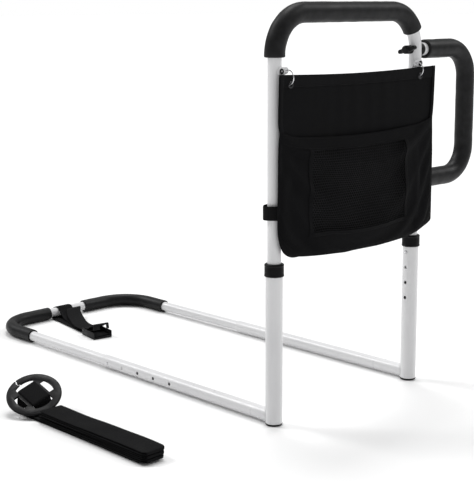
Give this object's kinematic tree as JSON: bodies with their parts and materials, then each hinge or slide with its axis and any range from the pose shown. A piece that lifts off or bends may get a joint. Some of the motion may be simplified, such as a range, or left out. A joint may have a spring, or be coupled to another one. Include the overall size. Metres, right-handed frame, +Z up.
{
  "type": "bed assist rail",
  "caption": "Height-adjustable bedside grab rail with foam handle, side handle, storage bag and telescoping under-mattress base, with a loose anchor strap.",
  "frame": {"origin": "middle of the left foot's underside, on the floor", "axes": "+X across the rail from the left leg to the right leg and its side handle, +Y along the base under the mattress, +Z up; the bag hangs on the -Y side"},
  "size_m": [0.9197, 1.0022, 0.7746],
  "materials": {
    "tube": "satin white powder coat",
    "foam": "matte closed-cell foam",
    "plastic": "moulded black",
    "fabric": "woven and mesh black polyester",
    "webbing": "black webbing",
    "steel": "bright zinc"
  },
  "bodies": {
    "lower_frame": {"left_base_tube": "tube", "left_leg_cap": "plastic", "left_leg_collar": "plastic", "left_leg_tube": "tube", "right_base_tube": "tube", "right_leg_cap": "plastic", "right_leg_collar": "plastic", "right_leg_tube": "tube"},
    "handle": {"bag_back_panel": "fabric", "bag_front_pocket": "fabric", "bag_left_band": "webbing", "bag_right_band": "webbing", "bottom_arm_plug": "plastic", "handle_grip": "foam", "handle_tube": "tube", "left_bag_bracket": "tube", "left_bag_eyelet": "steel", "left_bracket_screw": "plastic", "left_height_spring": "steel", "left_hook_ring": "steel", "right_bag_bracket": "tube", "right_bag_eyelet": "steel", "right_bracket_screw": "plastic", "right_height_spring": "steel", "right_hook_ring": "steel", "side_handle_grip": "foam", "side_handle_tube": "tube", "top_arm_plug": "plastic"},
    "base_extension": {"base_u_tube": "tube", "left_base_pad": "foam", "right_base_pad": "foam", "left_base_spring": "steel", "right_base_spring": "steel"},
    "top_knob": {"top_knob_stud": "steel", "top_wing_knob": "plastic"},
    "bottom_knob": {"bottom_knob_stud": "steel", "bottom_wing_knob": "plastic"},
    "left_height_button": {"left_height_button": "steel"},
    "left_base_button": {"left_base_button": "steel"},
    "right_height_button": {"right_height_button": "steel"},
    "right_base_button": {"right_base_button": "steel"},
    "buckle_strap": {"buckle_strap": "webbing", "buckle_strap_tail": "webbing", "buckle_frame": "plastic", "buckle_pin": "steel"},
    "buckle_lever": {"buckle_lever": "plastic"},
    "floor_anchor": {"anchor_disc": "plastic", "anchor_strap": "webbing", "anchor_strap_loop": "webbing"}
  },
  "joints": [
    {"name": "height_slide", "type": "slide", "parent": "lower_frame", "child": "handle", "axis": [0, 0, 1], "range_m": [-0.096, 0], "deforming": ["left_height_button", "right_height_button"]},
    {"name": "base_slide", "type": "slide", "parent": "lower_frame", "child": "base_extension", "axis": [0, 1, 0], "range_m": [-0.2032, 0], "deforming": ["left_base_button", "right_base_button"]},
    {"name": "left_height_press", "type": "slide", "parent": "handle", "child": "left_height_button", "axis": [-1, 0, 0], "range_m": [0, 0.0045], "stiffness_N_per_m": 900, "springref_m": -0.002, "deforming": ["left_height_spring"]},
    {"name": "right_height_press", "type": "slide", "parent": "handle", "child": "right_height_button", "axis": [1, 0, 0], "range_m": [0, 0.0045], "stiffness_N_per_m": 900, "springref_m": -0.002, "deforming": ["right_height_spring"]},
    {"name": "left_base_press", "type": "slide", "parent": "base_extension", "child": "left_base_button", "axis": [1, 0, 0], "range_m": [0, 0.0045], "stiffness_N_per_m": 900, "springref_m": -0.002, "deforming": ["left_base_spring"]},
    {"name": "right_base_press", "type": "slide", "parent": "base_extension", "child": "right_base_button", "axis": [-1, 0, 0], "range_m": [0, 0.0045], "stiffness_N_per_m": 900, "springref_m": -0.002, "deforming": ["right_base_spring"]},
    {"name": "top_knob_turn", "type": "hinge", "parent": "handle", "child": "top_knob", "pos_m": [0.4, 0, 0.681], "axis": [1, 0, 0], "continuous": true},
    {"name": "bottom_knob_turn", "type": "hinge", "parent": "handle", "child": "bottom_knob", "pos_m": [0.4, 0, 0.419], "axis": [1, 0, 0], "continuous": true},
    {"name": "strap_swing", "type": "hinge", "parent": "base_extension", "child": "buckle_strap", "pos_m": [0.175, 0.928, 0.015], "axis": [-1, 0, 0], "range_deg": [0, 95]},
    {"name": "lever_turn", "type": "hinge", "parent": "buckle_strap", "child": "buckle_lever", "pos_m": [0.14314, 0.7437, 0.0125], "axis": [0.9862, -0.1657, 0], "range_deg": [-50, 12]},
    {"name": "anchor_lift", "type": "slide", "parent": "lower_frame", "child": "floor_anchor", "axis": [0, 0, 1], "range_m": [0, 0.3]}
  ]
}
